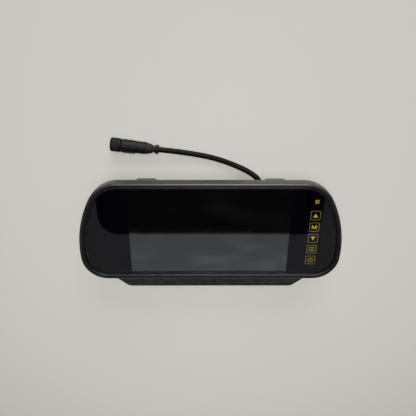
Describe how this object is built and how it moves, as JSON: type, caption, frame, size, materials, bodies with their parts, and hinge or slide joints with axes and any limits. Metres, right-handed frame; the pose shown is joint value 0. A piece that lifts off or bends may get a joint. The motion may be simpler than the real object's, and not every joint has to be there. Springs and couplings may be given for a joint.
{
  "type": "clip-on rear-view mirror monitor",
  "caption": "Clip-on mirror monitor with printed touch keys, two sprung mirror clips and a short lead ending in a round screw-collar plug.",
  "frame": {"origin": "middle of the footprint on the surface that the clip hooks stand on", "axes": "+X along the long side, +Y to the upper edge, +Z out of the screen"},
  "size_m": [0.2542, 0.1486, 0.0398],
  "materials": {
    "housing_plastic": "fine satin moulded black",
    "mirror_glass": "polished dark mirror glass",
    "mask_print": "black print",
    "key_print": "yellow print",
    "status_lens": "yellow lens",
    "foam_tape": "matte foam",
    "sheet_steel": "plated sheet",
    "display_glass": "matt anti-glare film",
    "light_guide": "clear acrylic",
    "flex_film": "amber film",
    "circuit_board": "green solder mask",
    "component_black": "moulded epoxy",
    "component_metal": "satin can",
    "component_white": "white nylon",
    "label_film": "blank grey film",
    "screw_steel": "black zinc",
    "spring_steel": "drawn wire",
    "rubber": "matte",
    "cable_jacket": "satin jacket",
    "plug_plastic": "satin nylon",
    "contact_metal": "plated"
  },
  "bodies": {
    "root": {"front_bezel": "housing_plastic", "mirror_glass": "mirror_glass", "key_legends": "key_print", "status_window": "status_lens", "mask_film": "mask_print", "window_film": "display_glass", "glass_tape": "foam_tape", "display_gasket": "foam_tape", "lcd_frame": "sheet_steel", "lcd_cell": "display_glass", "light_guide": "light_guide", "led_strip": "circuit_board", "display_flex": "flex_film", "lcd_carrier": "sheet_steel", "touch_board": "circuit_board", "touch_pads": "foam_tape", "key_leds": "component_white", "key_ribbon": "flex_film", "main_board": "circuit_board", "board_spacers": "sheet_steel", "rear_cover": "housing_plastic", "rating_label": "label_film", "cable_grommet": "rubber", "inner_lead": "cable_jacket", "cable": "cable_jacket", "main_board_chips": "component_black", "board_capacitors": "component_metal", "board_inductors": "component_black", "board_connectors": "component_white", "shield_can": "sheet_steel", "housing_screws": "screw_steel", "rail_screws": "screw_steel", "board_screws": "screw_steel", "carrier_screws": "screw_steel", "plug_ring": "plug_plastic", "plug_tail": "rubber", "plug_body": "plug_plastic", "plug_o_ring": "rubber", "contact_insert": "plug_plastic", "contact_pins": "contact_metal", "left_rail": "housing_plastic", "left_spring": "spring_steel", "left_lower_pad": "rubber", "right_rail": "housing_plastic", "right_spring": "spring_steel", "right_lower_pad": "rubber"},
    "left_clip": {"left_slider": "housing_plastic", "left_upper_pad": "rubber"},
    "right_clip": {"right_slider": "housing_plastic", "right_upper_pad": "rubber"},
    "nut": {"coupling_nut": "plug_plastic"}
  },
  "joints": [
    {"name": "left_clip_slide", "type": "slide", "parent": "root", "child": "left_clip", "axis": [0, 1, 0], "range_m": [0, 0.024], "stiffness_N_per_m": 800, "springref_m": -0.012, "deforming": ["left_spring"]},
    {"name": "right_clip_slide", "type": "slide", "parent": "root", "child": "right_clip", "axis": [0, 1, 0], "range_m": [0, 0.024], "stiffness_N_per_m": 800, "springref_m": -0.012, "deforming": ["right_spring"]},
    {"name": "coupling_nut_spin", "type": "hinge", "parent": "root", "child": "nut", "pos_m": [-0.08972, 0.08435, 0.0068], "axis": [-0.9932, 0.1167, 0], "continuous": true}
  ]
}
